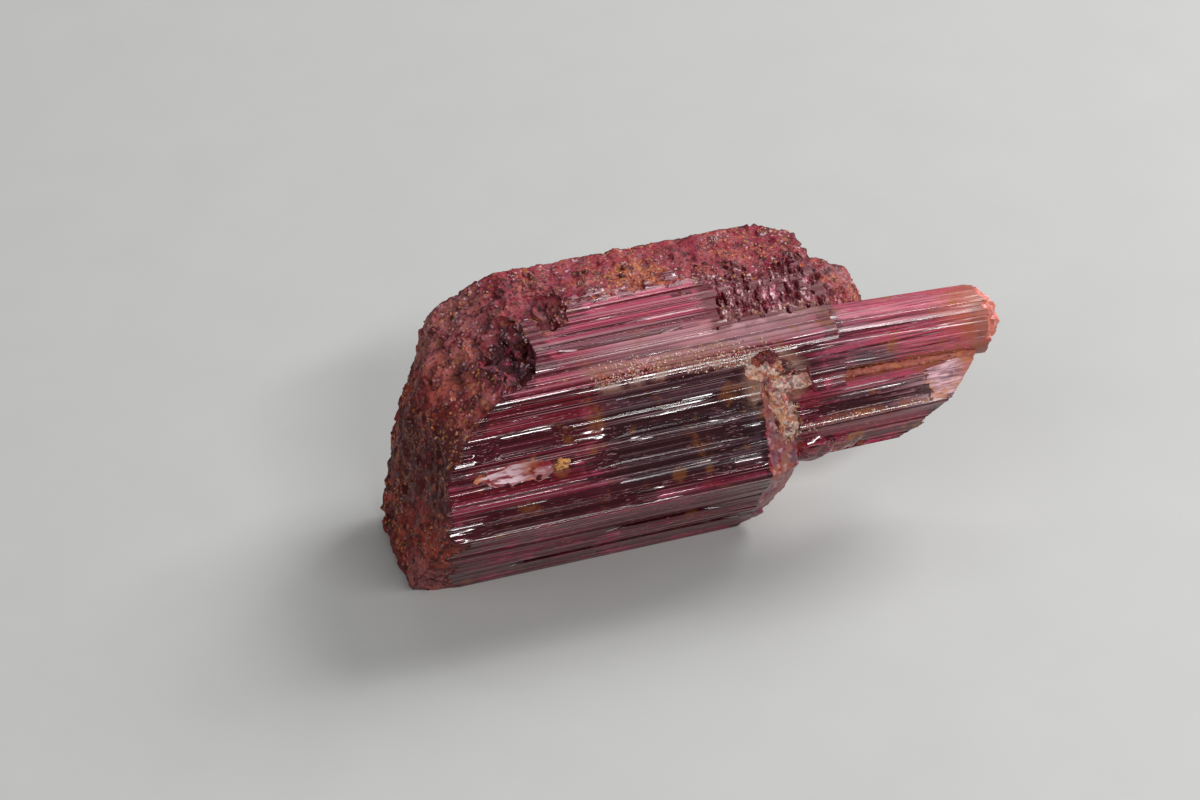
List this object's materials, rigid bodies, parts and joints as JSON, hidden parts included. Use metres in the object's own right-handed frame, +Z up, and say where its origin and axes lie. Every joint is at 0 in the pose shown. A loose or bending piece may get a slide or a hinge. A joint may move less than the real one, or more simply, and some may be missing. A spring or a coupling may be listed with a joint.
{
  "type": "tourmaline crystal",
  "caption": "Natural pink-red tourmaline crystal: a striated prism lying on one face, rough broken left end with iron-stained crust, slimmer twin prisms growing out of the right end.",
  "frame": {"origin": "centre of the bounding box in plan, on the flat prism face that the crystal rests on", "axes": "+X along the prisms (the crystal's c-axis) from the broken end towards the twin tips, +Y towards the back, +Z up"},
  "size_m": [0.0416, 0.0174, 0.0169],
  "materials": {
    "tourmaline": "gloss",
    "crust": "matte"
  },
  "bodies": {
    "root": {"tourmaline_crystal": "tourmaline"}
  },
  "joints": []
}
